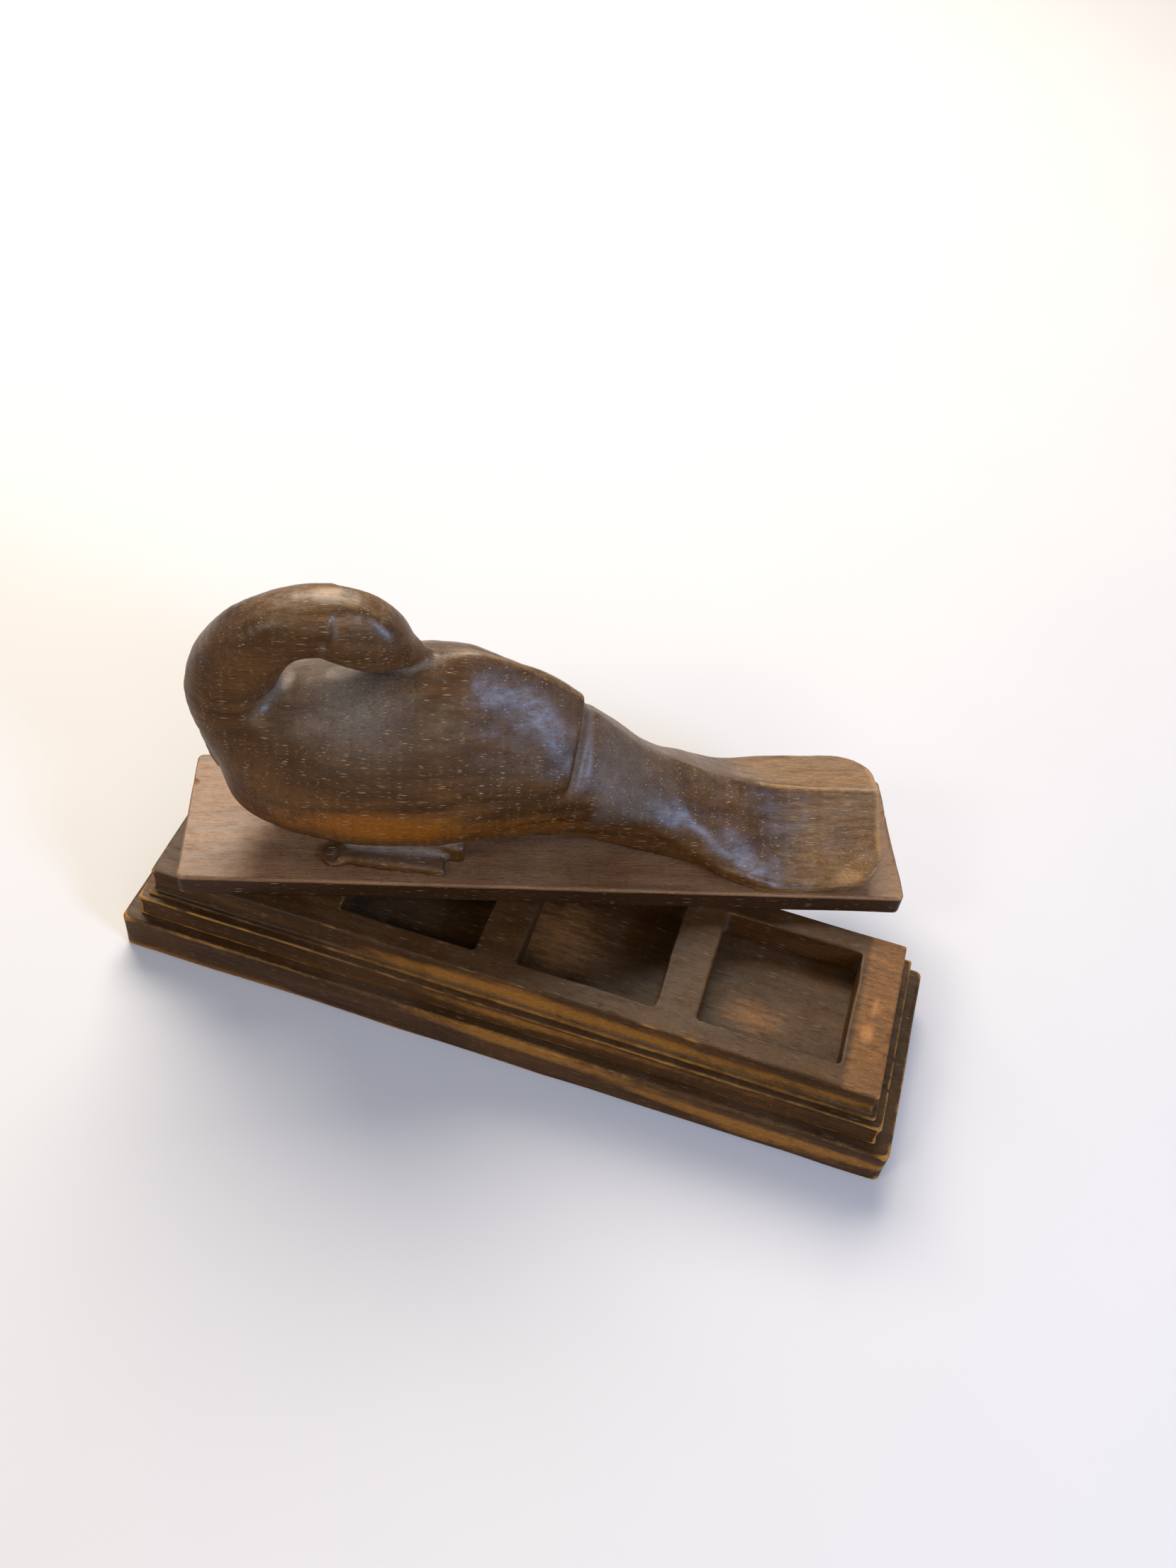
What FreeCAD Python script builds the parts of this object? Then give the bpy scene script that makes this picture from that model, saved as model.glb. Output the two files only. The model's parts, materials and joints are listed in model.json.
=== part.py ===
"""Desk stamp box with a swivel lid: three stacked boards with three square wells, a flat lid that
turns on one upright screw, and a carved preening bird on the lid that serves as its handle.

Frame: millimetres, +Z up, origin at the centre of the underside, +X along the box towards the
end that the lid uncovers, +Y towards the side that the lid swings to. The lid is drawn swung
open by swivel_open about its pivot screw.
"""
import FreeCAD, Part
import math
import os

import Sketcher

Vector = FreeCAD.Vector
Z_AXIS = Vector(0, 0, 1)

doc = FreeCAD.newDocument("swivel_lid_stamp_box")

# ---------------------------------------------------------------- driving dimensions

DIMENSIONS = {
    # stacked boards, bottom to top
    "foot_length": 172.4,
    "foot_width": 49.8,
    "foot_thickness": 10.0,
    "foot_corner": 1.6,
    "middle_length": 165.6,
    "middle_width": 45.1,
    "middle_thickness": 5.9,
    "middle_corner": 0.8,
    "top_length": 160.0,
    "top_width": 40.1,
    "top_thickness": 7.4,
    "top_corner": 0.8,
    "toe_out": 0.9,
    "toe_height": 0.9,
    # wells cut right through the top board
    "well_length": 30.5,
    "well_width": 29.0,
    "well_pitch": 39.6,
    "well_count": 3,
    "first_well_centre": 55.6,
    # lid
    "lid_length": 156.9,
    "lid_width": 35.1,
    "lid_thickness": 5.5,
    "lid_corner": 1.5,
    "lid_overhang": 20.5,
    "lid_gap": 0.15,
    "pivot_x": -58.0,
    "swivel_open": 19.0,
    # pivot screw and its washer, let into the underside
    "pivot_shank": 4.0,
    "pivot_play": 0.06,
    "pivot_head": 8.0,
    "pivot_head_height": 2.6,
    "pivot_seat": 8.0,
    "pivot_seat_bore": 12.0,
    "pivot_in_bird": 13.0,
    "pivot_point": 4.0,
    "washer_outer": 10.5,
    "washer_inner": 4.4,
    "washer_thickness": 0.8,
    "head_play": 0.1,
    # two countersunk screws that hold the carving to the lid
    "carving_shank": 3.0,
    "carving_head": 6.0,
    "carving_head_height": 1.6,
    "carving_sink": 0.3,
    "carving_length": 13.5,
    "carving_point": 3.0,
    "carving_front": 27.0,
    "carving_back": 110.0,
    "wood_grip": 0.02,
    # seat under the bird's belly and the webbed foot beside it
    "seat_front": -4.5,
    "seat_back": 38.0,
    "seat_width": 13.0,
    "seat_height": 7.0,
    "foot_front": 9.0,
    "foot_back": 36.0,
    "webbed_foot_height": 3.0,
    "webbed_foot_near": -15.0,
    "webbed_foot_far": -5.0,
}

# Cross sections of the body, front to back: distance behind the pivot, height of the middle
# above the lid, half width, half height.
BODY_STATIONS = [
    (-11.5, 21.0, 2.0, 3.0),
    (-9.0, 21.6, 7.5, 10.7),
    (-3.0, 22.0, 12.5, 16.8),
    (7.0, 22.7, 16.5, 20.5),
    (20.0, 24.0, 18.5, 22.5),
    (30.0, 26.0, 18.7, 23.5),
    (40.0, 28.0, 17.9, 23.6),
    (50.0, 26.6, 16.3, 20.8),
    (60.0, 23.5, 14.5, 17.6),
    (72.0, 17.2, 12.9, 13.0),
    (84.0, 11.9, 12.8, 9.4),
    (94.0, 9.0, 12.0, 6.7),
    (104.0, 7.0, 9.0, 4.8),
]

# Cross sections of the neck and head, from inside the breast, up, over and back to the beak:
# distance behind the pivot, height above the lid, half width, half thickness.
NECK_STATIONS = [
    (2.0, 22.0, 12.0, 11.0),
    (-5.0, 32.5, 10.0, 9.5),
    (-7.6, 41.7, 8.6, 8.4),
    (-4.1, 50.4, 7.8, 7.8),
    (2.5, 56.6, 7.0, 6.7),
    (10.3, 58.6, 7.0, 6.6),
    (16.5, 57.3, 7.4, 7.3),
    (21.5, 54.9, 6.4, 6.1),
    (26.0, 52.1, 4.0, 3.6),
    (31.3, 49.6, 1.4, 1.2),
]

# Cross sections of the tail, front to back. Each row: distance behind the pivot, then the
# near rim, the ridge, the far rim and the underside as (across, height) pairs.
TAIL_STATIONS = [
    (80.0, (-11.0, 9.5), (0.8, 21.5), (11.0, 12.0), (9.0, 5.0), (-8.5, 4.0)),
    (97.0, (-15.2, 3.4), (1.3, 16.0), (14.6, 8.4), (13.0, 0.0), (-13.8, 0.0)),
    (109.0, (-16.8, 1.0), (1.3, 14.8), (16.4, 8.4), (14.5, 0.0), (-15.5, 0.0)),
    (120.0, (-16.0, 1.5), (1.3, 14.5), (16.6, 8.8), (15.0, 2.0), (-14.0, 0.0)),
    (127.0, (-14.0, 3.5), (1.3, 14.6), (15.2, 9.4), (14.2, 6.0), (-12.5, 1.8)),
    (130.0, (-10.5, 5.6), (1.3, 14.6), (10.8, 10.6), (10.0, 8.6), (-9.5, 4.2)),
]

SECTION_POINTS = 12

sheet = doc.addObject("Spreadsheet::Sheet", "Dimensions")
row = 0


def drive(alias, value):
    """Put one driving value into the next row of the sheet."""
    global row
    row += 1
    sheet.set(f"A{row}", alias)
    sheet.set(f"B{row}", f"{value:g}")
    sheet.setAlias(f"B{row}", alias)


for alias, value in DIMENSIONS.items():
    drive(alias, value)
for kind, stations in (("body", BODY_STATIONS), ("neck", NECK_STATIONS)):
    for number, station in enumerate(stations, 1):
        for what, value in zip(("along", "height", "wide", "tall"), station):
            drive(f"{kind}_{number}_{what}", value)
doc.recompute()


def size(alias):
    return float(sheet.get(alias))


# ---------------------------------------------------------------- places worked out from the sheet

base_height = size("foot_thickness") + size("middle_thickness") + size("top_thickness")
lid_underside = base_height + size("lid_gap")
swivel = FreeCAD.Rotation(Z_AXIS, size("swivel_open"))
lid_place = FreeCAD.Placement(Vector(size("pivot_x"), 0, lid_underside), swivel)
bird_place = lid_place.multiply(FreeCAD.Placement(Vector(0, 0, size("lid_thickness")), FreeCAD.Rotation()))
pivot_place = FreeCAD.Placement(Vector(size("pivot_x"), 0, 0), swivel)

# ---------------------------------------------------------------- helpers


def origin_plane(body, role):
    for feature in body.Origin.OriginFeatures:
        if feature.Role == role:
            return feature
    raise RuntimeError(f"{body.Name} has no {role}")


def new_body(label, place=None):
    body = doc.addObject("PartDesign::Body", label)
    body.Label = label
    if place is not None:
        body.Placement = place
    return body


def new_sketch(body, name, role="XY_Plane", lift=None):
    sketch = body.newObject("Sketcher::SketchObject", name)
    sketch.AttachmentSupport = [(origin_plane(body, role), "")]
    sketch.MapMode = "FlatFace"
    if lift:
        sketch.setExpression("AttachmentOffset.Base.z", lift)
    return sketch


def bind(sketch, constraint, expression):
    """Add a named constraint whose value comes from the sheet."""
    name, made = constraint
    index = sketch.addConstraint(made)
    sketch.renameConstraint(index, name)
    sketch.setExpression(f"Constraints.{name}", expression)


def rectangle(sketch, length, width, centre_x="0"):
    """A rectangle symmetric about the X axis, its middle at centre_x, from sheet expressions."""
    corners = [Vector(-1, -1, 0), Vector(1, -1, 0), Vector(1, 1, 0), Vector(-1, 1, 0)]
    first = sketch.GeometryCount
    for number, corner in enumerate(corners):
        sketch.addGeometry(Part.LineSegment(corner, corners[(number + 1) % 4]), False)
    for number in range(4):
        after = first + (number + 1) % 4
        sketch.addConstraint(Sketcher.Constraint("Coincident", first + number, 2, after, 1))
    sketch.addConstraint(Sketcher.Constraint("Horizontal", first))
    sketch.addConstraint(Sketcher.Constraint("Horizontal", first + 2))
    sketch.addConstraint(Sketcher.Constraint("Vertical", first + 3))
    sketch.addConstraint(Sketcher.Constraint("Symmetric", first, 2, first + 1, 2, -1))
    bind(sketch, ("length", Sketcher.Constraint("DistanceX", first, 1, first, 2, 2.0)), length)
    bind(sketch, ("width", Sketcher.Constraint("DistanceY", first + 1, 1, first + 1, 2, 2.0)), width)
    right = Sketcher.Constraint("DistanceX", -1, 1, first, 2, 1.0)
    bind(sketch, ("right_end", right), f"({centre_x}) + ({length}) / 2")


def circle(sketch, diameter, centre_x="0"):
    """A circle on the X axis of the sketch."""
    first = sketch.addGeometry(Part.Circle(Vector(1, 0, 0), Z_AXIS, 1.0), False)
    if centre_x == "0":
        sketch.addConstraint(Sketcher.Constraint("Coincident", first, 3, -1, 1))
    else:
        sketch.addConstraint(Sketcher.Constraint("PointOnObject", first, 3, -1))
        # Positive distances only: the point lies to the left of the origin when centre_x < 0.
        left = Sketcher.Constraint("DistanceX", first, 3, -1, 1, 1.0)
        bind(sketch, ("from_origin", left), f"-({centre_x})")
    bind(sketch, ("diameter", Sketcher.Constraint("Diameter", first, 2.0)), diameter)


def pad(body, sketch, length):
    feature = body.newObject("PartDesign::Pad", f"{sketch.Name}_pad")
    feature.Profile = sketch
    feature.setExpression("Length", length)
    return feature


def pocket(body, sketch, depth=None, upward=True):
    """A pocket that cuts upward from its sketch, or downward; through everything without a depth."""
    doc.recompute()
    before = body.Shape.Volume
    feature = body.newObject("PartDesign::Pocket", f"{sketch.Name}_pocket")
    feature.Profile = sketch
    feature.Reversed = upward
    if depth is None:
        feature.Type = "ThroughAll"
        feature.Midplane = True
    else:
        feature.setExpression("Length", depth)
    doc.recompute()
    if not feature.Shape.Volume < before - 1e-3:
        raise RuntimeError(f"{feature.Name} cuts nothing")
    return feature


def round_corners(body, base, radius, half_length, half_width, centre_x=0.0):
    """Fillet the four upright corner edges of a board."""
    doc.recompute()
    names = []
    for number, edge in enumerate(base.Shape.Edges, 1):
        box = edge.BoundBox
        upright = box.XLength < 1e-6 and box.YLength < 1e-6
        at_end = abs(abs(box.XMin - centre_x) - half_length) < 0.01
        at_side = abs(abs(box.YMin) - half_width) < 0.01
        if upright and at_end and at_side:
            names.append(f"Edge{number}")
    feature = body.newObject("PartDesign::Fillet", f"{body.Name}_corners")
    feature.Base = (base, names)
    feature.setExpression("Radius", radius)
    doc.recompute()
    return feature


# ---------------------------------------------------------------- foot board


def make_foot_board():
    body = new_body("foot_board")
    outline = new_sketch(body, "foot_outline")
    rectangle(outline, "Dimensions.foot_length", "Dimensions.foot_width")
    board = pad(body, outline, "Dimensions.foot_thickness")
    round_corners(body, board, "Dimensions.foot_corner", size("foot_length") / 2, size("foot_width") / 2)
    seat = new_sketch(body, "screw_seat")
    circle(seat, "Dimensions.pivot_seat_bore", "Dimensions.pivot_x")
    pocket(body, seat, "Dimensions.pivot_seat")
    bore = new_sketch(body, "foot_pivot_bore")
    circle(bore, "Dimensions.pivot_shank + 2 * Dimensions.pivot_play", "Dimensions.pivot_x")
    pocket(body, bore)
    return body


# ---------------------------------------------------------------- middle board


def make_middle_board():
    place = FreeCAD.Placement(Vector(0, 0, size("foot_thickness")), FreeCAD.Rotation())
    body = new_body("middle_board", place)
    outline = new_sketch(body, "middle_outline")
    rectangle(outline, "Dimensions.middle_length", "Dimensions.middle_width")
    board = pad(body, outline, "Dimensions.middle_thickness")
    half_length, half_width = size("middle_length") / 2, size("middle_width") / 2
    round_corners(body, board, "Dimensions.middle_corner", half_length, half_width)
    bore = new_sketch(body, "middle_pivot_bore")
    circle(bore, "Dimensions.pivot_shank + 2 * Dimensions.pivot_play", "Dimensions.pivot_x")
    pocket(body, bore)
    return body


# ---------------------------------------------------------------- well board


def make_well_board():
    lift = size("foot_thickness") + size("middle_thickness")
    body = new_body("well_board", FreeCAD.Placement(Vector(0, 0, lift), FreeCAD.Rotation()))
    outline = new_sketch(body, "top_outline")
    rectangle(outline, "Dimensions.top_length", "Dimensions.top_width")
    board = pad(body, outline, "Dimensions.top_thickness")
    round_corners(body, board, "Dimensions.top_corner", size("top_length") / 2, size("top_width") / 2)
    toe = new_sketch(body, "toe_outline")
    both_sides = "2 * Dimensions.toe_out"
    rectangle(toe, f"Dimensions.top_length + {both_sides}", f"Dimensions.top_width + {both_sides}")
    pad(body, toe, "Dimensions.toe_height")
    well = new_sketch(body, "well_outline")
    rectangle(well, "Dimensions.well_length", "Dimensions.well_width", "Dimensions.first_well_centre")
    cut = pocket(body, well)
    wells = body.newObject("PartDesign::LinearPattern", "wells")
    wells.Originals = [cut]
    wells.Direction = (well, ["H_Axis"])
    wells.Reversed = True
    wells.setExpression("Length", "Dimensions.well_pitch * (Dimensions.well_count - 1)")
    wells.setExpression("Occurrences", "Dimensions.well_count")
    body.Tip = wells
    doc.recompute()
    bore = new_sketch(body, "top_pivot_bore")
    circle(bore, "Dimensions.pivot_shank + 2 * Dimensions.pivot_play", "Dimensions.pivot_x")
    pocket(body, bore)
    return body


# ---------------------------------------------------------------- lid board


def make_lid_board():
    body = new_body("lid_board", lid_place)
    outline = new_sketch(body, "lid_outline")
    centre = "Dimensions.lid_length / 2 - Dimensions.lid_overhang"
    rectangle(outline, "Dimensions.lid_length", "Dimensions.lid_width", centre)
    board = pad(body, outline, "Dimensions.lid_thickness")
    middle = size("lid_length") / 2 - size("lid_overhang")
    round_corners(
        body, board, "Dimensions.lid_corner", size("lid_length") / 2, size("lid_width") / 2, middle
    )
    grip = new_sketch(body, "lid_pivot_bore")
    circle(grip, "Dimensions.pivot_shank + 2 * Dimensions.wood_grip")
    pocket(body, grip)
    return body


# ---------------------------------------------------------------- carved bird


def carved_section(name, kind, number, tilt):
    """One closed upright section at a station: a rounded oval that faces along the tilt angle."""
    station = {what: size(f"{kind}_{number}_{what}") for what in ("along", "height", "wide", "tall")}
    points = []
    for step in range(SECTION_POINTS):
        angle = 2 * math.pi * step / SECTION_POINTS
        points.append(Vector(0, station["wide"] * math.sin(angle), station["tall"] * math.cos(angle)))
    curve = Part.BSplineCurve()
    curve.interpolate(Points=points, PeriodicFlag=True)
    section = doc.addObject("Part::Feature", name)
    section.Shape = Part.Wire(curve.toShape())
    middle = Vector(station["along"], 0, station["height"])
    section.Placement = FreeCAD.Placement(middle, FreeCAD.Rotation(Vector(0, 1, 0), -tilt))
    return section


def loft(name, sections):
    feature = doc.addObject("Part::Loft", name)
    feature.Sections = sections
    feature.Solid = True
    feature.Ruled = False
    return feature


def path_angles(stations):
    """Direction of a path through the stations, in degrees up from +X, at each of them."""
    angles = []
    last = len(stations) - 1
    for number in range(len(stations)):
        before, after = stations[max(number - 1, 0)], stations[min(number + 1, last)]
        angles.append(math.degrees(math.atan2(after[1] - before[1], after[0] - before[0])))
    return angles


def tail_section(number, station):
    """A gabled section of the tail: near rim, ridge, far rim and the two underside corners."""
    along, points = station[0], station[1:]
    section = doc.addObject("Part::Polygon", f"tail_section_{number}")
    section.Nodes = [Vector(along, across, height) for across, height in points]
    section.Close = True
    return section


def make_bird():
    body_sections = [
        carved_section(f"body_section_{n}", "body", n, 0.0) for n in range(1, len(BODY_STATIONS) + 1)
    ]
    angles = path_angles(NECK_STATIONS)
    neck_sections = [
        carved_section(f"neck_section_{n}", "neck", n, angle) for n, angle in enumerate(angles, 1)
    ]
    tail_sections = [tail_section(n, station) for n, station in enumerate(TAIL_STATIONS, 1)]
    tail = loft("bird_tail", tail_sections)
    tail.Ruled = True

    seat = doc.addObject("Part::Box", "belly_seat")
    seat.setExpression("Length", "Dimensions.seat_back - Dimensions.seat_front")
    seat.setExpression("Width", "Dimensions.seat_width")
    seat.setExpression("Height", "Dimensions.seat_height")
    seat.setExpression("Placement.Base.x", "Dimensions.seat_front")
    seat.setExpression("Placement.Base.y", "-Dimensions.seat_width / 2")

    webbed_foot = doc.addObject("Part::Box", "webbed_foot")
    webbed_foot.setExpression("Length", "Dimensions.foot_back - Dimensions.foot_front")
    webbed_foot.setExpression("Width", "Dimensions.webbed_foot_far - Dimensions.webbed_foot_near")
    webbed_foot.setExpression("Height", "Dimensions.webbed_foot_height")
    webbed_foot.setExpression("Placement.Base.x", "Dimensions.foot_front")
    webbed_foot.setExpression("Placement.Base.y", "Dimensions.webbed_foot_near")

    whole = doc.addObject("Part::MultiFuse", "bird_whole")
    whole.Shapes = [
        loft("bird_body", body_sections), loft("bird_neck", neck_sections), tail, seat, webbed_foot
    ]
    doc.recompute()

    screw_reach = "Dimensions.carving_sink + Dimensions.carving_length - Dimensions.lid_thickness"
    bores = doc.addObject("Part::MultiFuse", "bird_bores")
    bores.Shapes = [
        rod("bird_pivot_bore", "pivot", "Dimensions.pivot_in_bird", "0"),
        rod("front_screw_bore", "carving", screw_reach, "Dimensions.carving_front"),
        rod("back_screw_bore", "carving", screw_reach, "Dimensions.carving_back"),
    ]
    bird = doc.addObject("Part::Cut", "bird_carving")
    bird.Label = "bird_carving"
    bird.Base = whole
    bird.Tool = bores
    bird.Placement = bird_place
    return bird


def rod(name, kind, reach, along):
    """The space a screw takes up in the carving: a straight bore that ends in a cone."""
    radius = f"Dimensions.{kind}_shank / 2 + Dimensions.wood_grip"
    straight = doc.addObject("Part::Cylinder", f"{name}_straight")
    straight.setExpression("Radius", radius)
    straight.setExpression("Height", f"{reach} - Dimensions.{kind}_point")
    tip = doc.addObject("Part::Cone", f"{name}_tip")
    tip.setExpression("Radius1", radius)
    tip.Radius2 = 0
    tip.setExpression("Height", f"Dimensions.{kind}_point + 2 * Dimensions.wood_grip")
    tip.setExpression("Placement.Base.z", f"{reach} - Dimensions.{kind}_point")
    both = doc.addObject("Part::Fuse", name)
    both.Base = straight
    both.Tool = tip
    both.setExpression("Placement.Base.x", along)
    return both


# ---------------------------------------------------------------- screws and washer


def turned(label, outline, place):
    """A solid of revolution about Z from a closed half outline in the XZ plane."""
    wire = Part.makePolygon([Vector(radius, 0, height) for radius, height in outline + outline[:1]])
    feature = doc.addObject("Part::Feature", label)
    feature.Label = label
    feature.Shape = Part.Face(wire).revolve(Vector(0, 0, 0), Z_AXIS, 360)
    feature.Placement = place
    return feature


def make_pivot_screw():
    """Round-headed wood screw, its head up against the washer and its point in the bird."""
    shank, head = size("pivot_shank") / 2, size("pivot_head") / 2
    under_head = size("pivot_seat") - size("washer_thickness") - size("head_play")
    bottom = under_head - size("pivot_head_height")
    top = lid_underside + size("lid_thickness") + size("pivot_in_bird")
    outline = [
        (0, bottom),
        (head * 0.5, bottom + 0.15 * size("pivot_head_height")),
        (head * 0.85, bottom + 0.45 * size("pivot_head_height")),
        (head, under_head - 0.3),
        (head, under_head),
        (shank, under_head),
        (shank, top - size("pivot_point")),
        (0, top),
    ]
    return turned("pivot_screw", outline, pivot_place)


def make_pivot_washer():
    inner, outer = size("washer_inner") / 2, size("washer_outer") / 2
    top, thickness = size("pivot_seat"), size("washer_thickness")
    outline = [(inner, top - thickness), (outer, top - thickness), (outer, top), (inner, top)]
    place = FreeCAD.Placement(Vector(size("pivot_x"), 0, 0), FreeCAD.Rotation())
    return turned("pivot_washer", outline, place)


def carving_screw_shape(along, grip=0.0):
    """A countersunk screw with its head just under the lid's underside."""
    shank, head = size("carving_shank") / 2 + grip, size("carving_head") / 2 + grip
    low, neck = size("carving_sink") - grip, size("carving_sink") + size("carving_head_height")
    top = size("carving_sink") + size("carving_length")
    outline = [(0, low), (head, low), (shank, neck), (shank, top - size("carving_point")), (0, top)]
    wire = Part.makePolygon([Vector(radius, 0, height) for radius, height in outline + outline[:1]])
    solid = Part.Face(wire).revolve(Vector(0, 0, 0), Z_AXIS, 360)
    solid.translate(Vector(along, 0, 0))
    return solid


def make_carving_screws():
    screws = [carving_screw_shape(size(alias)) for alias in ("carving_front", "carving_back")]
    feature = doc.addObject("Part::Feature", "carving_screws")
    feature.Label = "carving_screws"
    feature.Shape = Part.makeCompound(screws)
    feature.Placement = lid_place
    return feature


def sink_screws_in_lid(lid):
    """Countersinks and shank holes for the carving screws, taken out of the lid board."""
    seats = []
    for alias in ("carving_front", "carving_back"):
        mouth = Part.makeCylinder(
            size("carving_head") / 2 + size("wood_grip"), size("carving_sink"), Vector(size(alias), 0, 0)
        )
        seats.append(carving_screw_shape(size(alias), size("wood_grip")).fuse(mouth))
    tool = doc.addObject("Part::Feature", "lid_screw_seats")
    tool.Shape = seats[0].fuse(seats[1])
    tool.Placement = lid_place
    cut = doc.addObject("Part::Cut", "lid_with_seats")
    cut.Base = lid
    cut.Tool = tool
    lid.Label = "lid_blank"
    cut.Label = "lid_board"
    return cut


# ---------------------------------------------------------------- build, check, write

parts = [
    make_foot_board(),
    make_middle_board(),
    make_well_board(),
    sink_screws_in_lid(make_lid_board()),
    make_bird(),
    make_pivot_screw(),
    make_pivot_washer(),
    make_carving_screws(),
]
doc.recompute()

for item in doc.Objects:
    if "Invalid" in item.State or "Error" in item.State:
        raise RuntimeError(f"{item.Label} is {item.State}")
for part in parts:
    if part.Shape.isNull() or not part.Shape.isValid():
        raise RuntimeError(f"{part.Label} has no valid shape")

os.makedirs("parts", exist_ok=True)
for part in parts:
    part.Shape.exportStep(f"parts/{part.Label}.step")
    solids, volume = len(part.Shape.Solids), part.Shape.Volume
    print(f"{part.Label}: {solids} solid(s), {volume:.0f} mm3, {part.Shape.BoundBox}")
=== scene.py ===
import itertools
import json
import math

import bpy
import numpy as np
from mathutils import Matrix, Vector


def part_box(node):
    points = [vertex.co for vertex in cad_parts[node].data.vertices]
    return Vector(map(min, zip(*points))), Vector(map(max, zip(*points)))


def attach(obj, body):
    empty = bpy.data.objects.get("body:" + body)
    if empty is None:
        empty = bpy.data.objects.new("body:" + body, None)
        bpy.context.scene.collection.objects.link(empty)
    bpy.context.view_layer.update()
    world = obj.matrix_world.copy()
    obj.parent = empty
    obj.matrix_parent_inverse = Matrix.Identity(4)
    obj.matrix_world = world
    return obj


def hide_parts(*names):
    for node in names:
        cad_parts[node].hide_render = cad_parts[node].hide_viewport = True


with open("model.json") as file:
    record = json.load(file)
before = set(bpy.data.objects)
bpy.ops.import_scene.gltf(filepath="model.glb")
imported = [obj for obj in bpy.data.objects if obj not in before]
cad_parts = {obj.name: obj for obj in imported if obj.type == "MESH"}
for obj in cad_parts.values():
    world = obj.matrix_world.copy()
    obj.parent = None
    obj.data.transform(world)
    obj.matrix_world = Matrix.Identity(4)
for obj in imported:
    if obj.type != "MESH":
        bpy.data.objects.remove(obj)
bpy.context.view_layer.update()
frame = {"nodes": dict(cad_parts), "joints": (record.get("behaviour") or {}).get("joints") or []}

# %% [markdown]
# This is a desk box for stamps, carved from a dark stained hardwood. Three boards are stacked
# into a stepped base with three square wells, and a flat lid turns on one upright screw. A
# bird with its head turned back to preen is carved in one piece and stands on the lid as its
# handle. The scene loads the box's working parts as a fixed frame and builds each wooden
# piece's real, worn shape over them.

MM = 0.001
pivot_x = frame["joints"][0]["pos_m"][0] / MM
lid_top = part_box("lid_board")[1].z / MM
swing = math.radians(19.0)
base_place = Matrix.Identity(4)
lid_place = Matrix.Translation((pivot_x * MM, 0, lid_top * MM)) @ Matrix.Rotation(swing, 4, "Z")

# %% [markdown]
# The camera looks down on the box from its long side, turned a little so that the right end
# and all three wells show. Its place is given by the directions of its own right, up and back.

# %% Camera
camera_right = (0.95263, 0.28665, 0.10161)
camera_up = (-0.28021, 0.69742, 0.65961)
camera_back = (0.11821, -0.65684, 0.74471)
camera_at = (0.04076, -0.18381, 0.27587)
camera = bpy.data.objects.new("camera", bpy.data.cameras.new("camera"))
camera.data.sensor_fit = "VERTICAL"
camera.data.sensor_height = 36.0
camera.data.lens = 33.31
camera.data.clip_start = 0.01  # metres
columns = (camera_right, camera_up, camera_back, camera_at)
camera.matrix_world = Matrix([[c[i] for c in columns] for i in range(3)] + [[0, 0, 0, 1]])
scene = bpy.context.scene
scene.collection.objects.link(camera)
scene.camera = camera
print("camera lens", camera.data.lens, "mm")

# %% [markdown]
# Blender's shader nodes are easier to read as sums than as a net of boxes. A Value wraps one
# output socket, so that `1 - mask * 2` adds the Math nodes by itself, and a Shader makes any
# other node from its type, its settings and what goes into its sockets.

# %% Shader maths


class Value:
    """One output of a shader node, for use in plain arithmetic."""

    def __init__(self, shader, socket):
        self.shader = shader
        self.socket = socket

    def maths(self, operation, first, second):
        return self.shader.node("ShaderNodeMath", {"operation": operation}, {0: first, 1: second})

    def __add__(self, other):
        return self.maths("ADD", self, other)

    def __radd__(self, other):
        return self.maths("ADD", other, self)

    def __sub__(self, other):
        return self.maths("SUBTRACT", self, other)

    def __rsub__(self, other):
        return self.maths("SUBTRACT", other, self)

    def __mul__(self, other):
        return self.maths("MULTIPLY", self, other)

    def __rmul__(self, other):
        return self.maths("MULTIPLY", other, self)

    def clamped(self):
        return self.shader.node("ShaderNodeClamp", {}, {0: self})


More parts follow.
